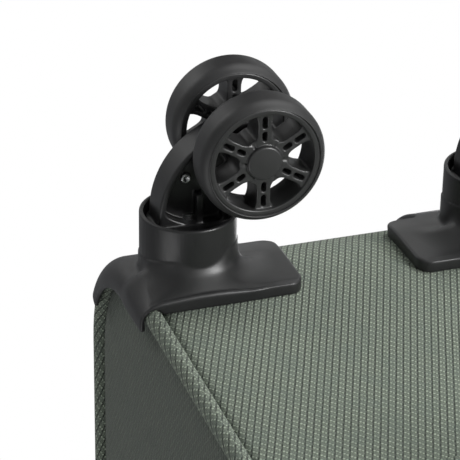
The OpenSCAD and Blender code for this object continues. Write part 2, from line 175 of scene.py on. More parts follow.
def make_floor():
    """A pale floor that fades out. It is clear from below, where the camera is."""
    mesh = bpy.data.meshes.new("floor")
    s = FLOOR_HALF
    mesh.from_pydata([(-s, -s, 0), (s, -s, 0), (s, s, 0), (-s, s, 0)], [], [(0, 1, 2, 3)])
    floor = show("floor", mesh)
    material = bpy.data.materials.new("floor")
    material.use_nodes = True
    out, mix, pale, clear, side, place, far, fade, most = fresh_nodes(
        material.node_tree, "OutputMaterial", "MixShader", "BsdfDiffuse", "BsdfTransparent",
        "NewGeometry", "TexCoord", "VectorMath", "MapRange", "Math")
    pale.inputs[0].default_value = (0.82, 0.82, 0.81, 1.0)
    far.operation = "LENGTH"
    fade.interpolation_type = "SMOOTHSTEP"
    fade.inputs[1].default_value, fade.inputs[2].default_value = FLOOR_FADE
    most.operation = "MAXIMUM"
    link = material.node_tree.links.new
    link(place.outputs["Object"], far.inputs[0])
    link(far.outputs["Value"], fade.inputs[0])
    link(fade.outputs[0], most.inputs[0])
    link(side.outputs["Backfacing"], most.inputs[1])
    link(most.outputs[0], mix.inputs[0])
    link(pale.outputs[0], mix.inputs[1])
    link(clear.outputs[0], mix.inputs[2])
    link(mix.outputs[0], out.inputs[0])
    mesh.materials.append(material)
    floor.visible_shadow = False


# ---- materials ----
class Shader:
    """A material made of nodes, with short helpers for the maths."""

    def __init__(self, name, colour=(0.5, 0.5, 0.5), rough=0.5, metal=0.0):
        self.material = bpy.data.materials.new(name)
        self.material.use_nodes = True
        self.tree = self.material.node_tree
        self.tree.nodes.clear()
        out = self.tree.nodes.new("ShaderNodeOutputMaterial")
        self.bsdf = self.tree.nodes.new("ShaderNodeBsdfPrincipled")
        self.tree.links.new(self.bsdf.outputs[0], out.inputs[0])
        self.set("Base Color", (*colour, 1.0))
        self.set("Roughness", rough)
        self.set("Metallic", metal)

    def set(self, socket, value):
        self.put(value, self.bsdf.inputs[socket])

    def put(self, value, socket):
        if hasattr(value, "links"):
            self.tree.links.new(value, socket)
        else:
            socket.default_value = value

    def node(self, kind, *values, **settings):
        """A new node with its first inputs filled."""
        node = self.tree.nodes.new("ShaderNode" + kind)
        for key, value in settings.items():
            setattr(node, key, value)
        for i, value in enumerate(values):
            self.put(value, node.inputs[i])
        return node

    def math(self, operation, a, b=0.0, c=0.0):
        return self.node("Math", a, b, c, operation=operation).outputs[0]

    def add(self, a, b):
        return self.math("ADD", a, b)

    def times(self, a, b):
        return self.math("MULTIPLY", a, b)

    def mix(self, factor, a, b):
        """Mixes two colours."""
        node = self.node("Mix", factor, data_type="RGBA")
        for i, value in ((6, a), (7, b)):
            if isinstance(value, tuple) and len(value) == 3:
                value = (*value, 1.0)
            self.put(value, node.inputs[i])
        return node.outputs[2]

    def ramp(self, value, low, high, to_low=0.0, to_high=1.0):
        values = (value, low, high, to_low, to_high)
        return self.node("MapRange", *values, interpolation_type="SMOOTHSTEP").outputs[0]

    def noise(self, vector, scale, detail=2.0, rough=0.5):
        node = self.node("TexNoise", vector)
        for socket, value in (("Scale", scale), ("Detail", detail), ("Roughness", rough)):
            self.put(value, node.inputs[socket])
        return node.outputs[0]

    def in_mm(self, point):
        scale = self.node("VectorMath", point, operation="SCALE")
        scale.inputs["Scale"].default_value = 1.0 / MM
        return scale.outputs[0]

    def object_mm(self):
        """The point on the object in millimetres."""
        return self.in_mm(self.node("TexCoord").outputs["Object"])

    def cloth_mm(self):
        """The point on the flat cloth in millimetres, from the cloth's own UV map."""
        return self.in_mm(self.node("UVMap", uv_map="cloth").outputs[0])

    def split(self, vector):
        return tuple(self.node("SeparateXYZ", vector).outputs)

    def bump(self, height, strength, distance_mm):
        node = self.node("Bump")
        self.put(height, node.inputs["Height"])
        node.inputs["Strength"].default_value = strength
        node.inputs["Distance"].default_value = distance_mm * MM
        self.set("Normal", node.outputs[0])

    def wrap(self, value, centre):
        """Distance from the nearest repeat of centre, in periods, with its sign."""
        shifted = self.add(value, 0.5 - centre)
        return self.math("SUBTRACT", self.math("FRACT", shifted), 0.5)


# The weave: pairs of light dots in slanting columns, with a dark groove between the columns.
STEP_ALONG = (2.75, 1.15)     # one period along a groove, in cloth u and v
STEP_ACROSS = (2.35, -1.85)   # one period across the grooves


def weighted(shader, a, b, ka, kb):
    return shader.add(shader.times(a, ka), shader.times(b, kb))


def weave_fabric(name, light, middle, dark):
    shader = Shader(name, rough=0.86)
    cloth = shader.cloth_mm()
    wobble = shader.noise(cloth, 0.22, 2.0)
    u, v, _ = shader.split(cloth)
    drift = shader.times(shader.math("SUBTRACT", wobble, 0.5), 0.8)
    u, v = shader.add(u, drift), shader.add(v, drift)
    area = STEP_ALONG[0] * STEP_ACROSS[1] - STEP_ALONG[1] * STEP_ACROSS[0]
    along = weighted(shader, u, v, STEP_ACROSS[1] / area, -STEP_ACROSS[0] / area)
    across = weighted(shader, u, v, -STEP_ALONG[1] / area, STEP_ALONG[0] / area)
    dots = None
    for place in (0.02, 0.48):
        da = shader.wrap(along, 0.0)
        dc = shader.wrap(across, place)
        du = weighted(shader, da, dc, STEP_ALONG[0], STEP_ACROSS[0])
        dv = weighted(shader, da, dc, STEP_ALONG[1], STEP_ACROSS[1])
        far = shader.math("SQRT", weighted(shader, du, dv, du, dv))
        dot = shader.ramp(far, 0.68, 0.22)
        dots = dot if dots is None else shader.math("MAXIMUM", dots, dot)
    groove = shader.math("ABSOLUTE", shader.wrap(across, 0.75))
    groove = shader.ramp(groove, 0.17, 0.04)
    beat = shader.math("COSINE", shader.times(along, 2 * math.pi))
    groove = shader.times(groove, shader.math("MULTIPLY_ADD", beat, 0.25, 0.75))
    fibre = shader.noise(cloth, 3.4, 2.0, 0.6)
    patch = shader.noise(cloth, 0.09, 3.0, 0.6)
    body = shader.mix(shader.ramp(fibre, 0.3, 0.75), dark, light)
    body = shader.mix(0.55, body, middle)
    lit = shader.mix(shader.times(dots, 0.95), body, light)
    shade = shader.mix(shader.times(groove, 0.94), lit, dark)
    cool = (middle[0] * 0.86, middle[1] * 0.95, middle[2] * 1.02)
    tint = shader.mix(shader.times(shader.ramp(patch, 0.4, 0.68), 0.28), shade, cool)
    shader.set("Base Color", tint)
    height = shader.math("SUBTRACT", dots, shader.times(groove, 1.4))
    height = shader.add(height, shader.times(fibre, 0.5))
    shader.bump(height, 0.85, 0.5)
    shader.set("Sheen Weight", 0.12)
    shader.set("Sheen Roughness", 0.5)
    shader.set("Specular IOR Level", 0.3)
    return shader.material


def moulded(name, colour, rough, grain=0.5):
    """Moulded plastic or rubber: fine spark grain, faint scuffs, and a painted highlight that makes the sharp
    edges paler.
    """
    shader = Shader(name, colour, rough)
    point = shader.object_mm()
    fine = shader.noise(point, 1.6, 3.0, 0.6)
    broad = shader.noise(point, 0.05, 3.0, 0.5)
    # Painted highlight: where the surface bends out sharply, its colour is mixed towards a paler one.
    edge = shader.node("NewGeometry").outputs["Pointiness"]
    edge_highlight = shader.times(shader.ramp(edge, 0.52, 0.6), 0.25)
    pale = tuple(min(1.0, c * 2.6 + 0.02) for c in colour)
    soft = tuple(c * 1.35 for c in colour)
    base = shader.mix(shader.times(broad, 0.5), colour, soft)
    shader.set("Base Color", shader.mix(edge_highlight, base, pale))
    shader.set("Roughness", shader.ramp(broad, 0.3, 0.7, rough - 0.05, rough + 0.07))
    shader.bump(fine, grain, 0.05)
    return shader.material


def metal(name, colour, rough, scratch_scale=(0.15, 0.15, 6.0)):
    """Satin metal with fine lines along the third axis turned across the surface."""
    shader = Shader(name, colour, rough, 1.0)
    mapping = shader.node("Mapping", shader.object_mm())
    mapping.inputs["Scale"].default_value = scratch_scale
    lines = shader.noise(mapping.outputs[0], 1.0, 3.0, 0.6)
    shader.set("Roughness", shader.ramp(lines, 0.25, 0.75, rough - 0.06, rough + 0.1))
    shader.bump(lines, 0.15, 0.03)
    return shader.material


def twill(name, colour, pitch=1.1):
    """Plain narrow cloth for tapes, webbing and lining, from the cloth's UV map."""
    shader = Shader(name, colour, 0.8)
    cloth = shader.cloth_mm()
    u, v, _ = shader.split(cloth)
    rise = shader.add(u, shader.times(v, 0.6))
    wave = shader.math("SINE", shader.times(rise, 2 * math.pi / pitch))
    rib = shader.math("SINE", shader.times(v, 2 * math.pi / (pitch * 0.8)))
    height = shader.times(wave, shader.math("MULTIPLY_ADD", rib, 0.3, 0.7))
    fuzz = shader.noise(cloth, 2.5, 2.0)
    bright = tuple(min(1.0, c * 1.9 + 0.012) for c in colour)
    level = shader.math("MULTIPLY_ADD", height, 0.3, shader.times(fuzz, 0.7))
    shader.set("Base Color", shader.mix(shader.ramp(level, 0.1, 0.8), colour, bright))
    shader.bump(height, 0.5, 0.2)
    shader.set("Sheen Weight", 0.1)
    return shader.material


FABRIC = weave_fabric("shell_fabric", (0.33, 0.385, 0.3), (0.105, 0.125, 0.1),
                      (0.016, 0.021, 0.016))
# Painted shade: the back panel gets the shell fabric's weave in darker colours, for the shade on that face.
SHADED_PANEL = weave_fabric("panel_fabric", (0.15, 0.175, 0.142), (0.062, 0.073, 0.058),
                     (0.028, 0.035, 0.027))
PLASTIC = moulded("moulded_plastic", (0.013, 0.013, 0.0135), 0.36, grain=0.35)
FORK_PLASTIC = moulded("fork_plastic", (0.01, 0.01, 0.0105), 0.36, grain=0.2)
RUBBER = moulded("tyre_rubber", (0.021, 0.021, 0.0215), 0.46, grain=0.15)
# Painted highlight: the wheel centres use the black moulded plastic about twice as pale, so that the hubs look
# lit.
RIM_PLASTIC_PAINTED_LIGHTER = moulded("rim_plastic_painted_lighter", (0.027, 0.027, 0.0275), 0.36, grain=0.15)
BUTTON = moulded("button_plastic", (0.09, 0.09, 0.09), 0.45)
STEEL = metal("steel", (0.5, 0.5, 0.51), 0.28)
ALLOY = metal("tube_alloy", (0.55, 0.55, 0.57), 0.3, (6.0, 6.0, 0.05))
ZIP_METAL = metal("zip_metal", (0.09, 0.09, 0.095), 0.35)
TAPE = twill("zip_tape", (0.014, 0.014, 0.014))
WEBBING = twill("handle_webbing", (0.016, 0.017, 0.016), 1.6)
LINING = twill("lining_cloth", (0.1, 0.105, 0.1), 0.7)
BOARD = moulded("frame_board", (0.04, 0.04, 0.04), 0.7, grain=0.8)


# ---- meshes ----
def make_object(name, points, faces, material, uvs=None, smooth=True):
    """A mesh object from points in millimetres. uvs holds one pair of mm per face corner."""
    mesh = bpy.data.meshes.new(name)
    mesh.from_pydata((np.asarray(points, float) * MM).tolist(), [], faces)
    mesh.materials.append(material)
    if smooth:
        mesh.shade_smooth()
    if uvs is not None:
        layer = mesh.uv_layers.new(name="cloth")
        layer.data.foreach_set("uv", (np.asarray(uvs, float) * MM).ravel())
    mesh.validate()
    return show(name, mesh)


def laid(points, faces, a, b):
    """A pair of cloth coordinates for each face corner, from two of its point's axes."""
    return [(points[q][a], points[q][b]) for face in faces for q in face]


def surface_net(shape, low, high, step):
    """The zero surface of a distance function as points and quads, drawn in to the true surface."""
    low, high = np.asarray(low, float), np.asarray(high, float)
    axes = [np.arange(low[i], high[i] + step, step) for i in range(3)]
    grids = np.meshgrid(*axes, indexing="ij", sparse=True)
    value = np.broadcast_to(shape(*grids), [len(a) for a in axes]).astype(np.float32)
    inside = value < 0
    total = np.zeros([n - 1 for n in value.shape] + [3], np.float32)
    count = np.zeros([n - 1 for n in value.shape], np.float32)
    crossings = []
    for axis in range(3):
        near = [slice(None)] * 3
        far = [slice(None)] * 3
        near[axis] = slice(None, -1)
        far[axis] = slice(1, None)
        a, b = value[tuple(near)], value[tuple(far)]
        cross = inside[tuple(near)] != inside[tuple(far)]
        crossings.append((cross, inside[tuple(near)]))
        index = np.argwhere(cross)
        t = a[cross] / (a[cross] - b[cross])
        others = [k for k in range(3) if k != axis]
        for da in (0, 1):
            for db in (0, 1):
                cell = index.copy()
                cell[:, others[0]] -= da
                cell[:, others[1]] -= db
                fits = np.all((cell >= 0) & (cell < np.array(total.shape[:3])), axis=1)
                point = index[fits].astype(np.float32)
                point[:, axis] += t[fits]
                place = tuple(cell[fits].T)
                np.add.at(total, place, point)
                np.add.at(count, place, 1.0)
    used = count > 0
    number = np.full(count.shape, -1, np.int64)
    number[used] = np.arange(int(used.sum()))
    points = low + total[used] / count[used][:, None] * step
    faces = []
    for axis, (cross, start_in) in enumerate(crossings):
        index = np.argwhere(cross)
        flip = start_in[cross]
        o0, o1 = [k for k in range(3) if k != axis]
        corner = []
        for da, db in ((1, 1), (0, 1), (0, 0), (1, 0)):
            cell = index.copy()
            cell[:, o0] -= da
            cell[:, o1] -= db
            corner.append(number[tuple(cell.T)])
        quad = np.stack(corner, 1)
        if axis == 1:
            flip = ~flip
        quad[~flip] = quad[~flip][:, ::-1]
        faces.append(quad)
    faces = np.concatenate(faces)
    for _ in range(3):
        points = settle(shape, points, step * 0.1, step * 0.5)
    return points, faces


def settle(shape, points, probe, most):
    """Moves points along the gradient on to the zero surface."""
    x, y, z = points.T
    d = shape(x, y, z)
    grad = np.stack([
        shape(x + probe, y, z) - shape(x - probe, y, z),
        shape(x, y + probe, z) - shape(x, y - probe, z),
        shape(x, y, z + probe) - shape(x, y, z - probe),
    ], 1) / (2 * probe)
    size = np.maximum(np.sum(grad * grad, 1), 0.05)
    move = np.clip(d / size, -most, most)[:, None] * grad
    return points - move


def thin_out(thing, ratio):
    """Applies a Decimate modifier, which keeps the shape and drops needless faces."""
    modifier = thing.modifiers.new("thin", "DECIMATE")
    modifier.ratio = ratio
    apply_modifiers(thing)
    thing.data.shade_smooth()


def apply_modifiers(thing):
    graph = bpy.context.evaluated_depsgraph_get()
    mesh = bpy.data.meshes.new_from_object(thing.evaluated_get(graph))
    thing.modifiers.clear()
    thing.data = mesh


# Distance functions, in millimetres. Negative is inside.
def smooth_min(a, b, k):
    h = np.clip(0.5 + 0.5 * (b - a) / k, 0.0, 1.0)
    return b + (a - b) * h - k * h * (1 - h)


def smooth_max(a, b, k):
    return -smooth_min(-a, -b, k)


def box2(x, y, x0, x1, y0, y1, r=0.0):
    """Distance to a rectangle with round corners."""
    dx = np.abs(x - (x0 + x1) / 2) - (x1 - x0) / 2 + r
    dy = np.abs(y - (y0 + y1) / 2) - (y1 - y0) / 2 + r
    return np.hypot(np.maximum(dx, 0), np.maximum(dy, 0)) + np.minimum(np.maximum(dx, dy), 0) - r


def round_meet(a, b, r):
    """Where two shapes overlap, with the edge between them rounded to radius r."""
    ra, rb = a + r, b + r
    return np.hypot(np.maximum(ra, 0), np.maximum(rb, 0)) + np.minimum(np.maximum(ra, rb), 0) - r


# ---- casters: drawn with x inboard, y to the front, z down, from the swivel axis ----
COLLAR_R = 19.1
COLLAR_TOP = 30.05
CUP_R = 17.3
CUP_FLOOR = 22.7
PLATE_T = 5.3
PLATE_IN = 26.0
PLATE_FRONT = 40.0
PLATE_ARC = math.radians(62)
LIP_OUT = 27.5
LIP_LOW = 6.5
TRAIL = 22.4
AXLE_Z = 58.0
WHEEL_X = 17.4          # from the fork's middle to each wheel's
ARC_X = 1.0


def body_height(x, z):
    """Height above the fabric, flat inboard and round the body's corner outboard."""
    round_part = np.hypot(x - ARC_X, z + CORNER_R) - CORNER_R
    return np.where(x > ARC_X, z + 0 * x, round_part)


def body_run(x, z):
    """Distance along the fabric from where the corner starts, positive inboard."""
    angle = np.arctan2(ARC_X - x, z + CORNER_R)
    return np.where(x > ARC_X, x - ARC_X + 0 * z, -CORNER_R * angle)


def housing_shape(rear):
    """The moulded housing: a saddle over the corner, a mound and a collar with a cup."""
    end = -CORNER_R * PLATE_ARC
    back = -LIP_OUT if rear else -22.3
    hook_r = 10.0 if rear else 5.0

    def shape(x, y, z):
        s = body_height(x, z)
        w = body_run(x, z)
        outer = round_meet(s - PLATE_T, back - y + 0 * s, hook_r)
        plan = box2(w, y, end, PLATE_IN - ARC_X, -60, 24.0, 7.0)
        plan = smooth_min(plan, box2(w, y, -15.0, PLATE_IN - ARC_X, -60, PLATE_FRONT, 6.5), 5.0)
        outer = round_meet(outer, plan, 1.1)
        cone_r = COLLAR_R - 1.6 + np.maximum(17.3 - z, -3) * 0.5
        cone = (np.hypot(x, y) - cone_r) * 0.87
        cone = smooth_max(cone, z - 17.0, 1.5)
        cone = smooth_max(cone, 6.5 - x, 5.0)
        cone = round_meet(cone, back + 0.3 - y, 6.0)
        cone = round_meet(cone, x - PLATE_IN, 1.1)
        solid = smooth_min(outer, np.maximum(cone, -3 - z), 10.0)
        ledge = round_meet(np.hypot(x, y) - COLLAR_R - 0.4, z - 15.0 - 0.12 * y - 0.15 * x, 0.35)
        solid = smooth_min(solid, np.maximum(ledge, -3 - z), 2.0)
        slope = z - PLATE_T - 1.6 * np.maximum(PLATE_IN - 1.6 - x, 0)
        solid = smooth_max(solid, slope * 0.53 - 0.5, 2.4)
        solid = round_meet(solid, x - PLATE_IN, 1.1)
        solid = smooth_max(solid, back - y, 1.0)
        collar = round_meet(np.hypot(x, y) - COLLAR_R, z - COLLAR_TOP, 0.9)
        collar = np.maximum(collar, -16 - z)
        solid = smooth_min(solid, collar, 0.3)
        if rear:
            inner = np.maximum(s, -25.3 - y)
            piping = np.hypot(y + 21.5, s + PIPING_IN) - PIPING_R - 0.3
            inner = smooth_min(inner, piping, 0.8)
            solid = smooth_max(solid, -inner, 0.5)
            solid = smooth_max(solid, -LIP_LOW - s, 1.0)
        else:
            solid = smooth_max(solid, -s, 0.5)
        cup = round_meet(np.hypot(x, y) - CUP_R, CUP_FLOOR - z, 0.8)
        return smooth_max(solid, -cup, 0.9)

    return shape


def fork_shape(x, y, z):
    """A crescent arm on a round base, with a pocket on each side and a boss for the axle."""
    width = 7.2
    arm_out = np.hypot(y - 23.3, z - 29.4) - 37.1
    arm_in = 22.0 - np.hypot(y - 35.0, z - 37.0)
    arm = smooth_max(arm_out, arm_in, 1.5)
    arm = np.maximum(arm, y - TRAIL)
    boss = np.hypot(y - TRAIL, z - AXLE_Z) - 8.4
    outline = smooth_min(arm, boss, 3.0)
    outline = smooth_max(outline, 24.0 - z, 1.0)
    side = np.abs(x) - width
    solid = round_meet(outline, side, 1.3)
    in_disc = np.hypot(x, y) - 16.4
    solid = np.maximum(solid, np.where(z < 34, in_disc, -1.0 + 0 * x))
    pocket = smooth_max(arm_out + 2.3, arm_in + 2.4, 3.0)
    pocket = smooth_max(pocket, np.hypot(y - 4.5, z - 51.0) - 24.6, 2.0)
    pocket = smooth_max(pocket, 10.6 - np.hypot(y - TRAIL, z - AXLE_Z), 2.0)
    rib = box2(y, z, 1.2, 4.0, 20, 39.0, 0.6)
    pocket = smooth_max(pocket, -rib, 0.8)
    pocket = smooth_max(pocket, 2.6 - np.abs(x), 0.8)
    solid = smooth_max(solid, -pocket, 0.7)
    disc = round_meet(np.hypot(x, y) - 16.5, np.abs(z - 24.8) - 1.8, 0.6)
    return smooth_min(solid, disc, 1.2)


RIM_R = 22.0
RIM_IN = 19.8
HUB_R = 6.9
SPOKE_HALF = 2.7


def rim_shape(x, y, z):
    """A wheel centre: z points out of the wheel, and one spoke points along y."""
    r = np.hypot(x, y)
    ring = round_meet(np.abs(r - (RIM_R + RIM_IN) / 2) - (RIM_R - RIM_IN) / 2, np.abs(z) - 7.4, 0.5)
    hub_top = z - 7.6 - 0.5 * np.cos(np.minimum(r / HUB_R, 1.0) * math.pi / 2)
    hub = round_meet(r - HUB_R, np.maximum(hub_top, -7.9 - z), 0.7)
    boss = np.maximum(np.abs(r - 8.6) - 1.2, np.abs(z + 0.2) - 6.0)
    angle = np.arctan2(x, y)
    sector = math.pi / 3
    angle = angle - sector * np.round(angle / sector)
    along = r * np.cos(angle)
    aside = r * np.sin(angle)
    flare = 0.9 * np.exp(-(((along - RIM_IN) / 2.2) ** 2))
    flare = flare + np.exp(-(((along - 8.0) / 2.0) ** 2))
    spoke = round_meet(np.abs(aside) - SPOKE_HALF - flare, np.abs(z - 0.2) - 6.0, 0.5)
    spoke = np.maximum(spoke, np.maximum(along - 21.0, 3.0 - along))
    slots = np.minimum(box2(aside, along, -1.05, 1.05, 13.8, 18.7, 1.0),
                       box2(aside, along, -1.05, 1.05, 8.5, 12.5, 1.0))
    spoke = smooth_max(spoke, -slots, 0.3)
    wheel = smooth_min(ring, smooth_min(spoke, hub, 0.6), 1.0)
    wheel = smooth_min(wheel, np.maximum(boss, -slots), 0.5)
    bore = np.maximum(r - 3.05, z - 6.5)
    return np.maximum(wheel, -bore)


def revolve(profile, count):
    """Turns a closed outline of (radius, height) pairs round z."""
    profile = np.asarray(profile, float)
    n = len(profile)
    points = []
    for i in range(count):
        a = 2 * math.pi * i / count
        points += [(r * math.cos(a), r * math.sin(a), h) for r, h in profile]
    faces = []
    for i in range(count):
        j = (i + 1) % count
        for k in range(n):
            m = (k + 1) % n
            faces.append((i * n + k, j * n + k, j * n + m, i * n + m))
    return points, faces


def tyre_outline():
    """The tyre's section: full round shoulders, a soft groove by each bead, flat inside."""
    half, shoulder = 8.5, 5.25
    points = [(RIM_R - 0.05, -half + 0.9), (RIM_R + 0.35, -half + 0.32)]
    for i in range(13):
        a = -math.pi / 2 + (i / 12) * math.pi / 2
        if math.sin(a) > -0.9:
            points.append((TYRE_R - shoulder + shoulder * math.cos(a),
                           -half + shoulder + shoulder * math.sin(a)))
    points += [(r, -h) for r, h in reversed(points)]
    return [p for p in points if p[0] >= RIM_R - 0.06]


def caster_matrix(key):
    """From the caster frame to the suitcase, in millimetres."""
    pivot = PIVOTS[key]
    hand = 1.0 if key.endswith("left") else -1.0
    return np.array([[hand, 0, 0], [0, -1, 0], [0, 0, -1.0]]), \
        np.array([pivot[0], pivot[1], BODY_BOTTOM])


def place(points, turn, shift):
    return np.asarray(points) @ np.asarray(turn).T + shift


def oriented(faces, turn):
    """Faces turned over where the placing mirrors them."""
    faces = np.asarray(faces)
    return faces[:, ::-1] if np.linalg.det(turn) < 0 else faces


def placed(name, net, turn, shift, material, thin=None):
    """A piece from points and faces drawn in their own place, then turned and moved."""
    points, faces = net
    thing = make_object(name, place(points, turn, shift), oriented(faces, turn).tolist(), material)
    if thin:
        thin_out(thing, thin)
    return thing


def make_casters():
    fine = 0.55
    housings = {rear: surface_net(housing_shape(rear), (-60, -30, -34), (28, 43, 33), fine)
                for rear in (True, False)}
    forks = surface_net(fork_shape, (-18, -18, 21), (18, 34, 69), fine * 0.9)
    rims = surface_net(rim_shape, (-23, -23, -9), (23, 23, 9.5), fine * 0.8)
    tyres = revolve(tyre_outline(), 96)
    flip_y = np.diag([1.0, -1.0, 1.0])
    for key in PIVOTS:
        turn, shift = caster_matrix(key)
        rear = key.startswith("rear")
        full = turn if rear else turn @ flip_y
        housing = placed("caster_housing_" + key, housings[rear], full, shift, PLASTIC, 0.35)
        finish_piece(housing, "case", "moulded_plastic", "housing_" + key)
        fork = placed("caster_fork_" + key, forks, turn, shift, FORK_PLASTIC, 0.5)
        finish_piece(fork, "fork_" + key, "moulded_plastic", "fork_" + key)
        make_fork_screw(key, turn, shift)
        for name, out in (("in", 1.0), ("out", -1.0)):
            label = f"{key}_{name}"
            full = turn @ np.array([[0, 0, out], [out, 0, 0], [0, 1.0, 0]])
            centre = turn @ np.array([out * WHEEL_X, TRAIL, AXLE_Z]) + shift
            # The wheel centre's paler plastic is a painted highlight.
            rim = placed("wheel_centre_" + label, rims, full, centre, RIM_PLASTIC_PAINTED_LIGHTER, 0.5)
            finish_piece(rim, "wheel_" + label, "moulded_plastic", "rim_" + label)
            tyre = placed("wheel_tyre_" + label, tyres, full, centre, RUBBER)
            finish_piece(tyre, "wheel_" + label, "tyre_rubber", "tyre_" + label)


def make_fork_screw(key, turn, shift):
    """The round-headed screw seen in both pockets of the fork."""
    profile = [(0.0, 0.55), (0.85, 0.6), (1.0, 1.25), (1.55, 1.3), (2.1, 0.9), (2.3, 0.0),
               (0.0, 0.0)]
    points, faces = [], []
    for side in (1, -1):
        head, head_faces = revolve_open(profile, 24)
        base = len(points)
        for r0, r1, h in head:
            points.append((side * (2.5 + h), -2.0 + r0, 45.0 + r1))
        for face in head_faces:
            face = [base + k for k in face]
            faces.append(face if side > 0 else face[::-1])
    screw = make_object("fork_screw_" + key, place(points, turn, shift),
                        [f if np.linalg.det(turn) > 0 else f[::-1] for f in faces], STEEL)
    finish_piece(screw, "fork_" + key, "steel")


def revolve_open(profile, count):
    """Turns an outline that starts and ends on the axis; returns (a, b, height) points."""
    points = [(0.0, 0.0, profile[0][1])]
    ring = profile[1:-1]
    for i in range(count):
        a = 2 * math.pi * i / count
        points += [(r * math.cos(a), r * math.sin(a), h) for r, h in ring]
    last = len(points)
    points.append((0.0, 0.0, profile[-1][1]))
    n = len(ring)
    faces = []
    for i in range(count):
        j = (i + 1) % count
        faces.append((0, 1 + i * n, 1 + j * n))
        for k in range(n - 1):
            faces.append((1 + i * n + k, 1 + i * n + k + 1, 1 + j * n + k + 1, 1 + j * n + k))
        faces.append((1 + i * n + n - 1, last, 1 + j * n + n - 1))
    return points, faces


# ---- the fabric body ----
def outline(inset, per_corner=14, per_side=24, half_w=None, half_h=None, corner=None):
    """Points round a rectangle with round corners, from the bottom's middle, to +x first.
    Each entry is (x, z, distance along, outward x, outward z)."""
    half_w = HALF_W if half_w is None else half_w
    half_h = HALF_H if half_h is None else half_h
    corner = CORNER_R if corner is None else corner
    straight_x, straight_z = half_w - corner, half_h - corner
    r = corner - inset
    entries = []
    run = 0.0

    def line(x0, z0, x1, z1, nx, nz):
        nonlocal run
        length = math.hypot(x1 - x0, z1 - z0)
        for i in range(per_side):
            t = i / per_side
            entries.append((x0 + (x1 - x0) * t, z0 + (z1 - z0) * t, run + length * t, nx, nz))
        run += length

    def arc(cx, cz, start):
        nonlocal run
        for i in range(per_corner):
            a = start + math.pi / 2 * i / per_corner
            entries.append((cx + r * math.cos(a), cz + r * math.sin(a),
                            run + corner * math.pi / 2 * i / per_corner,
                            math.cos(a), math.sin(a)))
        run += corner * math.pi / 2

    bottom, top = -half_h + inset, half_h - inset
    left, right = -half_w + inset, half_w - inset
    line(0, bottom, straight_x, bottom, 0, -1)
    arc(straight_x, -straight_z, -math.pi / 2)
    line(right, -straight_z, right, straight_z, 1, 0)
    arc(straight_x, straight_z, 0)
    line(straight_x, top, -straight_x, top, 0, 1)
    arc(-straight_x, straight_z, math.pi / 2)
    line(left, straight_z, left, -straight_z, -1, 0)
    arc(-straight_x, -straight_z, math.pi)
    line(-straight_x, bottom, 0, bottom, 0, -1)
    return entries, run


def ring_mesh(name, entries, length, section, material):
    """Sweeps a section round an outline. A section point is (out, y, cloth v)."""
    n = len(section)
    count = len(entries)
    points = []
    for x, z, _, nx, nz in entries:
        for out, y, _ in section:
            points.append((MID_X + x + nx * out, y, MID_Z + z + nz * out))
    faces, uvs = [], []
    for i in range(count):
        j = (i + 1) % count
        u0 = entries[i][2]
        u1 = entries[j][2] if j else length
        for k in range(n):
            m = (k + 1) % n
            v0 = section[k][2]
            v1 = section[m][2] if m else section[k][2] + 1.0
            faces.append((i * n + k, j * n + k, j * n + m, i * n + m))
            uvs += [(u0, v0), (u1, v0), (u1, v1), (u0, v1)]
    thing = make_object(name, points, faces, material, uvs)
    fix_normals(thing)
    return thing


def fabric_wall(name, y0, y1, material, inner=4.0, curl=1.2):
    """A padded wall that follows the outline and turns in a little at both of its seams."""
    section = []
    steps = 18
    for i in range(steps + 1):
        t = i / steps
        y = y0 + (y1 - y0) * t
        edge = min(y - y0, y1 - y)
        out = -curl * math.exp(-edge / 1.6)
        section.append((out, y, y))
    back = [(-inner, y1, y1 + 4.0), (-inner, (y0 + y1) / 2, (y0 + y1) / 2), (-inner, y0, y0 - 4.0)]
    entries, length = outline(0.0)
    thing = ring_mesh(name, entries, length, section + back, material)
    thing.data.materials.append(LINING)
    n = len(section + back)
    for face in thing.data.polygons:
        if face.index % n in (steps + 1, steps + 2):
            face.material_index = 1
    return thing


def piping(name, y, body, node, sign):
    """A cord covered in the shell fabric, with the seam's valley on both sides."""
    section = []
    sides = 20
    for i in range(sides):
        a = 2 * math.pi * i / sides
        section.append((-PIPING_IN + PIPING_R * math.cos(a), y + PIPING_R * math.sin(a) * sign,
                        PIPING_R * a))
    entries, length = outline(0.0)
    finish_piece(ring_mesh(name, entries, length, section, FABRIC), body, "shell_fabric", node)


def fix_normals(thing):
    data = bmesh.new()
    data.from_mesh(thing.data)
    bmesh.ops.recalc_face_normals(data, faces=data.faces)
    data.to_mesh(thing.data)
    data.free()


def panel(name, node, body, outward, material, slot, crown=1.6):
    """A padded panel: slightly crowned, with its edge rolled down into the piping's seam."""
    low, high = box_mm(node)
    half_w, half_h = (high[0] - low[0]) / 2, (high[2] - low[2]) / 2
    corner = CORNER_R - (HALF_W - half_w)
    face_y = high[1] if outward > 0 else low[1]
    inner_y = low[1] if outward > 0 else high[1]
    rings = 16
    points, faces = [], []
    entries, _ = outline(0.0, 12, 16, half_w, half_h, corner)
    count = len(entries)
    shrink = [1.0 - 0.985 * (i / rings) ** 1.6 for i in range(rings + 1)]
    for t, k in enumerate([1.0] + shrink):
        for x, z, *_ in entries:
            edge = (1.0 - k) * half_w
            y = face_y - outward * 1.8 * math.exp(-edge / 2.0)
            y += outward * crown * (1 - k ** 3) * 0.3
            if t == 0:
                y = inner_y
            points.append((MID_X + x * k, y, MID_Z + z * k))
    for t in range(rings + 1):
        for i in range(count):
            j = (i + 1) % count
            faces.append((t * count + i, t * count + j, (t + 1) * count + j, (t + 1) * count + i))
    ends = [[(rings + 1) * count + i for i in range(count)], list(range(count))[::-1]]
    uvs = laid(points, faces, 2, 0) + laid(points, ends, 0, 2)
    faces += ends
    thing = make_object(name, points, faces, material, uvs)
    thing.data.materials.append(LINING)
    thing.data.polygons[len(faces) - 1].material_index = 1
    fix_normals(thing)
    return finish_piece(thing, body, slot, node)


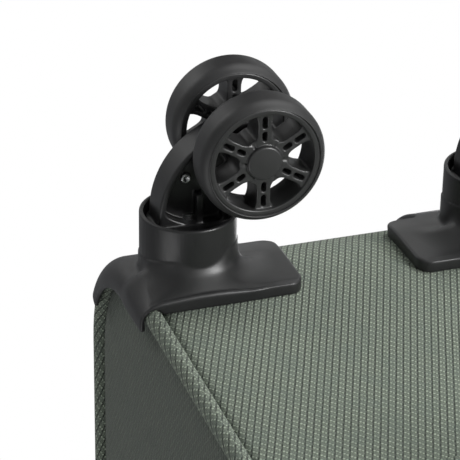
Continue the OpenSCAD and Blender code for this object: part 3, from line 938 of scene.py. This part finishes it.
def make_body():
    wall = fabric_wall("gusset_cloth", GUSSET_LOW[1], GUSSET_HIGH[1], FABRIC)
    deep = (PANEL_HIGH[1] + FRONT_LOW[1]) / 2
    cut_hole(wall, (MID_X - 97, MID_X + 97), (deep + 42, deep + 93), (BODY_TOP - 6, BODY_TOP + 6))
    finish_piece(wall, "case", "shell_fabric", "gusset")
    lid = fabric_wall("lid_gusset_cloth", LID_LOW[1], LID_HIGH[1], FABRIC)
    finish_piece(lid, "lid", "shell_fabric", "lid_gusset")
    back_low, back_high = box_mm("back_piping")
    front_low, front_high = box_mm("front_piping")
    piping("back_piping_cord", (back_low[1] + back_high[1]) / 2, "case", "back_piping", 1)
    piping("front_piping_cord", (front_low[1] + front_high[1]) / 2, "lid", "front_piping", 1)
    # The back panel wears the darker copy of the shell fabric, which is painted shade.
    back = panel("back_panel_cloth", "back_panel", "case", 1, SHADED_PANEL, "panel_fabric")
    front = panel("front_panel_cloth", "front_panel", "lid", -1, FABRIC, "shell_fabric")


# ---- shared ways to finish a piece ----
DEEP_0 = (PANEL_HIGH[1] + FRONT_LOW[1]) / 2        # the middle of the body's depth
PLACE = np.array([MID_X, DEEP_0, BODY_TOP])         # the middle of the body's top
ZIP_LOW, ZIP_HIGH = box_mm("main_zip_lid")[1][1], box_mm("main_zip_case")[0][1]
ZIP_Y = (ZIP_LOW + ZIP_HIGH) / 2
EYE = np.eye(3)


def lay_cloth(thing):
    """Lays the cloth's UV map on each face from the side that it looks to, in metres."""
    mesh = thing.data
    layer = mesh.uv_layers.get("cloth") or mesh.uv_layers.new(name="cloth")
    for face in mesh.polygons:
        n = [abs(v) for v in face.normal]
        for loop in face.loop_indices:
            x, y, z = mesh.vertices[mesh.loops[loop].vertex_index].co
            if n[1] >= n[0] and n[1] >= n[2]:
                layer.data[loop].uv = (x, z)
            elif n[0] >= n[2]:
                layer.data[loop].uv = (z, y)
            else:
                layer.data[loop].uv = (x, y)


def moulding(name, shape, low, high, step, material, turn=EYE, shift=PLACE, thin=0.45):
    """A piece from a distance function, drawn in its own place and then turned and moved."""
    return placed(name, surface_net(shape, low, high, step), turn, shift, material, thin)


def joined(name, things, material):
    """Joins meshes of one material into one piece."""
    data = bmesh.new()
    for thing in things:
        data.from_mesh(thing.data)
        bpy.data.objects.remove(thing)
    mesh = bpy.data.meshes.new(name)
    data.to_mesh(mesh)
    data.free()
    mesh.materials.append(material)
    mesh.shade_smooth()
    return show(name, mesh)


# ---- telescopic handle ----
TUBE_X, TUBE_Y = 78.0, 81.0


def bezel_shape(x, y, z):
    """A flanged cup let into the top: a tray for the fingers and a bore for each tube."""
    flange = round_meet(box2(x, y, -101, 101, 38, 96, 9.0), np.abs(z - 1.55) - 1.45, 1.2)
    body = round_meet(box2(x, y, -98, 98, 41, 94, 7.0), np.abs(z + 8.6) - 11.4, 1.0)
    solid = smooth_min(flange, body, 0.8)
    step = round_meet(box2(x, y, -96, 96, 43.5, 93.5, 6.0), 2.3 - z, 0.3)
    solid = smooth_max(solid, -step, 0.4)
    tray = round_meet(box2(x, y, -60, 60, 46.5, 91, 7.0), -18.0 - z, 5.0)
    solid = smooth_max(solid, -tray, 1.4)
    bore = np.hypot(np.abs(x) - TUBE_X, y - TUBE_Y)
    ring = round_meet(np.abs(bore - 11.2) - 1.4, np.abs(z - 1.5) - 1.5, 0.5)
    solid = smooth_min(solid, ring, 0.3)
    return smooth_max(solid, 9.8 - bore, 0.5)


def grip_shape(x, y, z):
    """A bar with round ends, finger waves under it, a seam line and a pocket for the button."""
    y = y - TUBE_Y
    wide = 10.0 + 1.5 * np.clip((np.abs(x) - 52) / 22, 0, 1)
    plan = np.hypot(np.maximum(np.abs(x) - TUBE_X, 0), y) - wide
    solid = round_meet(plan, np.abs(z - 11.5) - 8.0, 5.0)
    dip = np.where(np.abs(x) < 52, 0.5 - 0.5 * np.cos((x + 52) * 2 * math.pi / 26), 0.0)
    solid = smooth_max(solid, 3.5 + 1.3 * dip - z, 1.5)
    line = np.hypot(solid, z - 14.6) - 0.45
    solid = smooth_max(solid, -line, 0.2)
    pocket = round_meet(box2(x, y, -18, 18, -6, 6, 2.4), 11.5 - z, 0.4)
    solid = smooth_max(solid, -pocket, 0.7)
    bore = np.maximum(np.hypot(np.abs(x) - TUBE_X, y) - 8.0, z - 11.5)
    return np.maximum(solid, -bore)


def button_shape(x, y, z):
    y = y - TUBE_Y
    top = 19.7 - 0.9 * (x / 17.7) ** 2
    solid = round_meet(box2(x, y, -17.7, 17.7, -5.7, 5.7, 2.2), np.maximum(z - top, 14.8 - z), 0.9)
    for k in (-2, -1, 0, 1, 2):
        rib = np.hypot(x - 4.0 * k, z - 20.3) - 0.95
        solid = smooth_max(solid, -np.maximum(rib, np.abs(y) - 3.6), 0.3)
    return solid


def ferrule_shape(x, y, z):
    """The plastic mouth on the top of each middle tube."""
    bore = np.hypot(np.abs(x) - TUBE_X, y - TUBE_Y)
    return round_meet(np.abs(bore - 8.85) - 0.58, np.abs(z - 1.7) - 1.15, 0.35)


def make_trolley():
    bezel = moulding("handle_bezel", bezel_shape, (-103, 36, -21), (103, 98, 5), 0.95, PLASTIC)
    finish_piece(bezel, "case", "moulded_plastic", "bezel")
    grip = moulding("handle_grip", grip_shape, (-91, 68, 2), (91, 94, 21), 0.7, PLASTIC)
    finish_piece(grip, "trolley_stage_2", "moulded_plastic", "grip")
    button = moulding("handle_button", button_shape, (-19, 74, 13), (19, 88, 21), 0.4, BUTTON)
    finish_piece(button, "trolley_button", "button_plastic", "button")
    mouth = moulding("tube_mouths", ferrule_shape, (-89, 70, 0), (89, 92, 4), 0.42, FORK_PLASTIC)
    finish_piece(mouth, "trolley_stage_1", "moulded_plastic")


# ---- carry handles: u along the strap, w across it, h off the fabric ----
def to_line(u, h, u0, h0, u1, h1):
    du, dh = u1 - u0, h1 - h0
    t = np.clip(((u - u0) * du + (h - h0) * dh) / (du * du + dh * dh), 0, 1)
    return np.hypot(u - u0 - t * du, h - h0 - t * dh)


def strap_shape(u, w, h):
    """A padded strap with flat ends and a sewn line along each edge."""
    a = np.abs(u)
    flat = to_line(a, h, 90.0, 3.5, 68.0, 3.5) - 1.95
    rise = to_line(a, h, 69.0, 3.6, 52.0, 13.6) - 2.9
    pad = to_line(a, h, 52.0, 13.7, 0.0, 14.1) - 3.9 + 0.25 * (w / 16.0) ** 2
    bar = smooth_min(smooth_min(flat, rise, 3.5), pad, 5.0)
    solid = round_meet(bar, np.abs(w) - 16.0, 3.0)
    seam = np.hypot(np.abs(w) - 12.4, solid) - 0.55
    solid = smooth_max(solid, -seam, 0.5)
    for place_u in (49.0, 53.0, 72.0):
        cross = np.hypot(a - place_u, solid) - 0.5
        solid = smooth_max(solid, -np.maximum(cross, np.abs(w) - 12.4), 0.4)
    return solid


def anchor_shape(u, w, h):
    """A moulded boot at each end of a strap, open towards the strap."""
    a = np.abs(u)
    block = round_meet(box2(a, w, 74.0, 102.0, -18.5, 18.5, 6.0), h - 16.1, 3.5)
    block = smooth_max(block, 0.52 * (a - 97.0) + 0.85 * (h - 15.5), 2.0)
    block = np.maximum(block, 0.1 - h)
    groove = np.hypot(block, h - 3.2) - 0.5
    block = smooth_max(block, -groove, 0.3)
    slot = round_meet(box2(a, w, 60.0, 93.3, -16.3, 16.3, 2.0), np.abs(h - 7.5) - 6.3, 1.5)
    return smooth_max(block, -slot, 0.8)


def make_carry_handles():
    top_turn, top_shift = EYE, PLACE + (0, -14.0, 0)
    side_turn = np.array([[0, 0, 1.0], [0, 1.0, 0], [-1.0, 0, 0]])
    side_shift = np.array([MID_X + HALF_W, DEEP_0 + 15.0, MID_Z])
    boots = []
    for name, turn, shift in (("top", top_turn, top_shift), ("side", side_turn, side_shift)):
        strap = moulding(f"{name}_carry_strap", strap_shape, (-95, -18, 0), (95, 18, 20), 0.8,
                         WEBBING, turn, shift)
        lay_cloth(strap)
        finish_piece(strap, f"{name}_handle", "handle_webbing", f"{name}_handle")
        boots.append(moulding(f"{name}_boots", anchor_shape, (-104, -20, -1), (104, 20, 18), 0.85,
                              PLASTIC, turn, shift))
    finish_piece(joined("carry_handle_anchors", boots, PLASTIC), "case", "moulded_plastic",
                 "handle_anchors")


# ---- zips ----
SLIDER_HALF = 4.2       # half a zip slider's width


def slider_shape(x, y, z):
    """A zip slider lying flat, with its puller towards +y."""
    taper = 4.2 - 0.9 * np.clip(x / 6.0, 0, 1) ** 2
    plan = round_meet(np.abs(x) - 6.0, np.abs(y) - taper, 1.8)
    deck = round_meet(plan, np.abs(z - 1.1) - 1.1, 0.5)
    mouth = np.maximum(np.abs(y) - 0.5, 4.0 - np.abs(x + 8.0))
    deck = np.maximum(deck, -np.maximum(np.maximum(mouth, x + 3.0), -1.0 - z))
    block = np.maximum(np.abs(y - 0.5) - 3.5, np.abs(z - 2.4) - 1.2)
    bridge = round_meet(np.abs(x) - 1.2, block, 0.5)
    solid = smooth_min(deck, bridge, 0.4)
    waist = 3.2 - 0.7 * np.sin(np.clip((y - 5) / 16, 0, 1) * math.pi)
    pull = np.maximum(np.abs(x) - waist, np.abs(y - 15.0) - 11.0)
    pull = np.maximum(pull, np.hypot(x, y - 22.8) - 3.2 - np.where(y < 22.8, 99, 0))
    pull = round_meet(pull, np.abs(z - 1.9) - 0.7, 0.35)
    hole = np.hypot(x, y - 21.3) - 1.4
    dent = np.maximum(round_meet(np.abs(x) - 1.5, np.abs(y - 13.0) - 5.2, 0.8), 2.25 - z)
    pull = np.maximum(pull, -np.minimum(hole, dent))
    return np.minimum(solid, pull)


def make_sliders():
    left_low, right_low = box_mm("zip_slider_left")[0], box_mm("zip_slider_right")[0]
    right_high = box_mm("zip_slider_right")[1]
    down = np.array([[1.0, 0, 0], [0, 0, -1.0], [0, -1.0, 0]])
    jobs = [
        ("zip_slider_left", EYE, (left_low[0] + 6, ZIP_Y, left_low[2])),
        ("zip_slider_right", np.diag([-1.0, 1, 1]), (right_high[0] - 6, ZIP_Y, right_low[2])),
    ]
    for node in ("lower_pocket_slider", "upper_pocket_slider"):
        low, high = box_mm(node)
        jobs.append((node, down, (low[0] + 6, high[1], high[2] - SLIDER_HALF)))
    net = surface_net(slider_shape, (-7, -5.5, -0.6), (7, 27.5, 4.4), 0.34)
    for node, turn, shift in jobs:
        finish_piece(placed("puller_" + node, net, turn, np.array(shift), ZIP_METAL, 0.4), node,
                     "zip_metal", node)


def teeth(name, spots, material, body, slot):
    """Small closed teeth. A spot is (point, along, across, out), in millimetres."""
    corners = [(a, b, c) for c in (0, 1) for a, b in ((-1, -1), (1, -1), (1, 1), (-1, 1))]
    sides = [(3, 2, 1, 0), (4, 5, 6, 7), (0, 1, 5, 4), (1, 2, 6, 5), (2, 3, 7, 6), (3, 0, 4, 7)]
    points, faces = [], []
    for point, along, across, out in spots:
        base = len(points)
        for a, b, c in corners:
            k = 0.68 if c else 1.0
            points.append(point + along * a * 0.62 * k + across * b * 1.35 * k + out * c * 0.85)
        faces += [tuple(base + i for i in side) for side in sides]
    thing = make_object(name, points, faces, material, smooth=False)
    fix_normals(thing)
    return finish_piece(thing, body, slot)


def make_main_zip():
    """Two tapes with interleaved teeth on three sides, and a sewn fabric hinge on the fourth."""
    entries, length = outline(1.0, 20, 160)
    for body, node, sign in (("case", "main_zip_case", 1), ("lid", "main_zip_lid", -1)):
        section = []
        for t in np.linspace(0.55, 4.9, 7):
            ridge = 0.35 if 2.6 < t < 3.4 else 0.0
            section.append((ridge * 0.5 - 0.35, ZIP_Y + sign * t, t))
        section += [(-1.6, ZIP_Y + sign * 4.9, 6.0), (-1.6, ZIP_Y + sign * 0.55, 10.0)]
        tape = ring_mesh("zip_tape_" + body, entries, length, section, TAPE)
        finish_piece(tape, body, "zip_tape", node)
        spots = []
        pitch = 1.9
        marks = np.array([e[2] for e in entries])
        for k in range(int(length / pitch)):
            run = pitch * (k + (0.5 if sign < 0 else 0.0))
            i = int(np.searchsorted(marks, run)) % len(entries)
            j = (i - 1) % len(entries)
            span = (marks[i] - marks[j]) or 1.0
            t = min(max((run - marks[j]) / span, 0.0), 1.0) if i else 0.0
            x = entries[j][0] + (entries[i][0] - entries[j][0]) * t
            z = entries[j][1] + (entries[i][1] - entries[j][1]) * t
            nx, nz = entries[i][3], entries[i][4]
            if nx < -0.99:
                continue
            point = np.array([MID_X + x + nx * -0.3, ZIP_Y + sign * 0.75, MID_Z + z + nz * -0.3])
            spots.append((point, np.array([-nz, 0, nx]), np.array([0, 1.0, 0]),
                          np.array([nx, 0, nz])))
        teeth("zip_teeth_" + body, spots, FORK_PLASTIC, body, "zip_tape")
    make_hinge()


def make_hinge():
    """The strip of shell fabric that the lid turns on."""
    half = HALF_H - CORNER_R + 4
    rows, columns = 60, 16
    wide = 11.0
    outer, inner = [], []
    for i in range(rows + 1):
        z = MID_Z - half + 2 * half * i / rows
        for k in range(columns + 1):
            t = 2 * k / columns - 1
            y = ZIP_Y + wide * t
            out = 0.9 - 0.6 * abs(t) ** 6 - 0.5 * math.exp(-((abs(y - ZIP_Y) - 7.5) / 0.8) ** 2)
            outer.append((MID_X - HALF_W - out, y, z))
            inner.append((MID_X - HALF_W + 0.6, y, z))
    count = len(outer)
    n = columns + 1
    faces = []
    for i in range(rows):
        for k in range(columns):
            a, b, c, d = i * n + k, i * n + k + 1, (i + 1) * n + k + 1, (i + 1) * n + k
            faces += [(a, b, c, d), (count + d, count + c, count + b, count + a)]
    edge = list(range(n)) + [i * n + columns for i in range(1, rows + 1)]
    edge += [rows * n + k for k in range(columns - 1, -1, -1)]
    edge += [i * n for i in range(rows - 1, 0, -1)]
    for a, b in zip(edge, edge[1:] + edge[:1]):
        faces.append((a, b, count + b, count + a))
    points = outer + inner
    strip = make_object("lid_hinge_strip", points, faces, FABRIC, laid(points, faces, 2, 1))
    fix_normals(strip)
    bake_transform(strip)


# ---- pockets ----
def swell(thing, pressure, cap, frames=20):
    """Fills a closed cloth with air for a moment and keeps the shape that it takes."""
    start = np.array([v.co for v in thing.data.vertices])
    cloth = thing.modifiers.new("air", "CLOTH")
    facts = cloth.settings
    facts.use_pressure = True
    facts.uniform_pressure_force = pressure
    facts.effector_weights.gravity = 0.0
    facts.quality = 5
    facts.mass = 0.3
    facts.vertex_group_mass = "held"
    cloth.collision_settings.use_collision = False
    scene = bpy.context.scene
    for frame_number in range(1, frames + 1):
        scene.frame_set(frame_number)
    apply_modifiers(thing)
    scene.frame_set(1)
    now = np.array([v.co for v in thing.data.vertices])
    move = now - start
    size = np.linalg.norm(move, axis=1, keepdims=True)
    move *= np.minimum(1.0, cap * MM / np.maximum(size, 1e-9))
    return start, start + move


def make_pocket(which):
    low, high = box_mm(which)
    zip_z = box_mm(which + "_slider")[1][2] - SLIDER_HALF
    x0, x1, z0, z1 = low[0], high[0], low[2], high[2]
    front, back = low[1], high[1]

    def shape(x, y, z):
        plan = box2(x, z, x0 + 0.6, x1 - 0.6, z0 + 0.6, z1 - 0.6, 25.0)
        return round_meet(plan, np.maximum(front + 0.6 - y, y - back), 6.5)

    points, faces = surface_net(shape, low - 6, high + 6, 4.0)
    bag = make_object(which + "_cloth", points, faces.tolist(), FABRIC)
    held = bag.vertex_groups.new(name="held")
    backed = [i for i, p in enumerate(points) if p[1] > back - 4.5]
    held.add(backed, 1.0, "REPLACE")
    start, ended = swell(bag, 4.0, 4.0)
    start, ended = start / MM, ended / MM
    near_zip = np.exp(-((ended[:, 2] - zip_z) / 15.0) ** 4)
    ended[:, 1] = np.maximum(ended[:, 1], front - 2.8 * (1 - near_zip) + 0.6 * near_zip)
    rng = np.random.default_rng(7 if which == "lower_pocket" else 11)
    sway = np.zeros(len(ended))
    for _ in range(9):
        kx, kz = rng.normal(0, 0.035), rng.normal(0, 0.05)
        sway += np.sin(ended[:, 0] * kx + ended[:, 2] * kz + rng.uniform(0, 6.3)) * 0.22
    on_front = np.clip((back - ended[:, 1]) / (back - front), 0, 1) * (1 - near_zip)
    ended[:, 1] += sway * on_front
    for vertex, co in zip(bag.data.vertices, ended * MM):
        vertex.co = co
    bag.data.update()
    smooth = bag.modifiers.new("smooth", "SUBSURF")
    smooth.levels = smooth.render_levels = 2
    apply_modifiers(bag)
    bag.data.shade_smooth()
    lay_cloth(bag)
    finish_piece(bag, "lid", "shell_fabric", which)
    pocket_edge(which, x0, x1, z0, z1, back)
    pocket_zip(which, x0, x1, zip_z, front)


def pocket_edge(which, x0, x1, z0, z1, back):
    """A thin cord sewn round the foot of the pocket, where it meets the lid."""
    entries, length = outline(0.0, 14, 24, (x1 - x0) / 2, (z1 - z0) / 2, 26.0)
    middle_x, middle_z = (x0 + x1) / 2 - MID_X, (z0 + z1) / 2 - MID_Z
    entries = [(x + middle_x, z + middle_z, run, nx, nz) for x, z, run, nx, nz in entries]
    section = []
    for i in range(14):
        a = 2 * math.pi * i / 14
        section.append((0.6 + 2.0 * math.cos(a), back - 2.0 + 2.0 * math.sin(a), 2.0 * a))
    cord = ring_mesh(which + "_edge_cord", entries, length, section, FABRIC)
    finish_piece(cord, "lid", "shell_fabric")


def pocket_zip(which, x0, x1, zip_z, front):
    """A straight zip across the front of the pocket, with a sewn line beside each tape."""
    left, right = x0 + 16.0, x1 - 16.0
    count = 120
    profile = [(-7.2, -0.5), (-6.9, 0.25), (-6.0, 0.3), (-5.4, 0.05), (-4.8, 0.3), (-2.0, 0.3),
               (-1.7, 0.0), (1.7, 0.0), (2.0, 0.3), (4.8, 0.3), (5.4, 0.05), (6.0, 0.3),
               (6.9, 0.25), (7.2, -0.5)]
    points, faces = [], []
    n = len(profile)
    for i in range(count + 1):
        x = left + (right - left) * i / count
        fade = min(1.0, (i + 0.3) / 2, (count - i + 0.3) / 2)
        for dz, out in profile:
            points.append((x, front - out - 0.1, zip_z + dz * (0.9 + 0.1 * fade)))
    for i in range(count):
        for k in range(n):
            m = (k + 1) % n
            faces.append((i * n + k, (i + 1) * n + k, (i + 1) * n + m, i * n + m))
    faces += [tuple(range(n)), tuple(count * n + k for k in range(n))[::-1]]
    tape = make_object(which + "_zip_tape", points, faces, TAPE, laid(points, faces, 0, 2))
    fix_normals(tape)
    finish_piece(tape, "lid", "zip_tape")
    spots = []
    for k in range(int((right - left - 6) / 0.95)):
        x = left + 3 + 0.95 * k
        sign = 1 if k % 2 else -1
        spots.append((np.array([x, front - 0.15, zip_z + sign * 0.7]), np.array([0.75, 0, 0]),
                      np.array([0, 0, 1.0]), np.array([0, -1.0, 0]) * 0.7))
    teeth(which + "_zip_teeth", spots, FORK_PLASTIC, "lid", "zip_tape")


# ---- lining ----
LINING_IN = 9.0         # how far the lining's outline is inside the body's


def make_lining():
    low, high = box_mm("lining")
    entries, length = outline(LINING_IN, 14, 40)
    y0, y1 = low[1], high[1]
    section = []
    steps = 12
    for i in range(steps + 1):
        y = y0 + (y1 - y0) * i / steps
        section.append((-1.2 - 0.35 * math.sin(i * math.pi * 3 / steps) ** 2, y, y))
    section += [(0.0, y1, y1 + 1.2), (0.0, y0, y0 - 1.2)]
    walls = ring_mesh("lining_walls", entries, length, section, LINING)
    mesh = walls.data
    keep = (DEEP_0 + 39.5 - y0) / (y1 - y0)
    for v in mesh.vertices:
        x, y, z = v.co[0] / MM, v.co[1] / MM, v.co[2] / MM
        if abs(x - MID_X) < 106 and z > BODY_TOP - 14:
            v.co[1] = (y0 + (y - y0) * keep) * MM
    finish_piece(walls, "case", "lining_cloth", "lining")
    back_low, back_high = box_mm("lining_back_wall")
    back = panel("lining_back_cloth", "lining_back_wall", "case", -1, LINING, "lining_cloth", 0.6)
    cut_hole(back, (MID_X - 99, MID_X + 99), (back_low[1] - 5, back_high[1] + 5),
             (BODY_TOP - 21, BODY_TOP + 9))


def cut_hole(thing, xs, ys, zs):
    """Removes the faces inside a box, after cutting them along its sides."""
    data = bmesh.new()
    data.from_mesh(thing.data)
    ranges = (xs, ys, zs)
    for axis in range(3):
        for value in ranges[axis]:
            at, normal = [0, 0, 0], [0, 0, 0]
            at[axis], normal[axis] = value * MM, 1
            every = data.verts[:] + data.edges[:] + data.faces[:]
            bmesh.ops.bisect_plane(data, geom=every, plane_co=at, plane_no=normal, dist=1e-7)
    gone = []
    for face in data.faces:
        c = face.calc_center_median() / MM
        if all(ranges[k][0] < c[k] < ranges[k][1] for k in range(3)):
            gone.append(face)
    bmesh.ops.delete(data, geom=gone, context="FACES")
    data.to_mesh(thing.data)
    data.free()


def dress_cad():
    """Gives every CAD node that stays its finished material."""
    looks = {"moulded_plastic": PLASTIC, "steel": STEEL, "tube_alloy": ALLOY,
             "zip_metal": ZIP_METAL, "zip_tape": TAPE, "handle_webbing": WEBBING,
             "lining_cloth": LINING, "frame_board": BOARD, "button_plastic": BUTTON,
             "tyre_rubber": RUBBER, "shell_fabric": FABRIC, "panel_fabric": SHADED_PANEL}
    slots = {p["node"]: p["material_slot"] for p in frame["record"]["subparts"]}
    for name, node in frame["nodes"].items():
        for slot in node.material_slots:
            slot.material = looks[slots[name]]


make_camera()
make_lights()
make_world()
make_floor()
dress_cad()
make_casters()
make_body()
make_trolley()
make_carry_handles()
make_sliders()
make_main_zip()
make_pocket("lower_pocket")
make_pocket("upper_pocket")
make_lining()

bpy.context.view_layer.update()
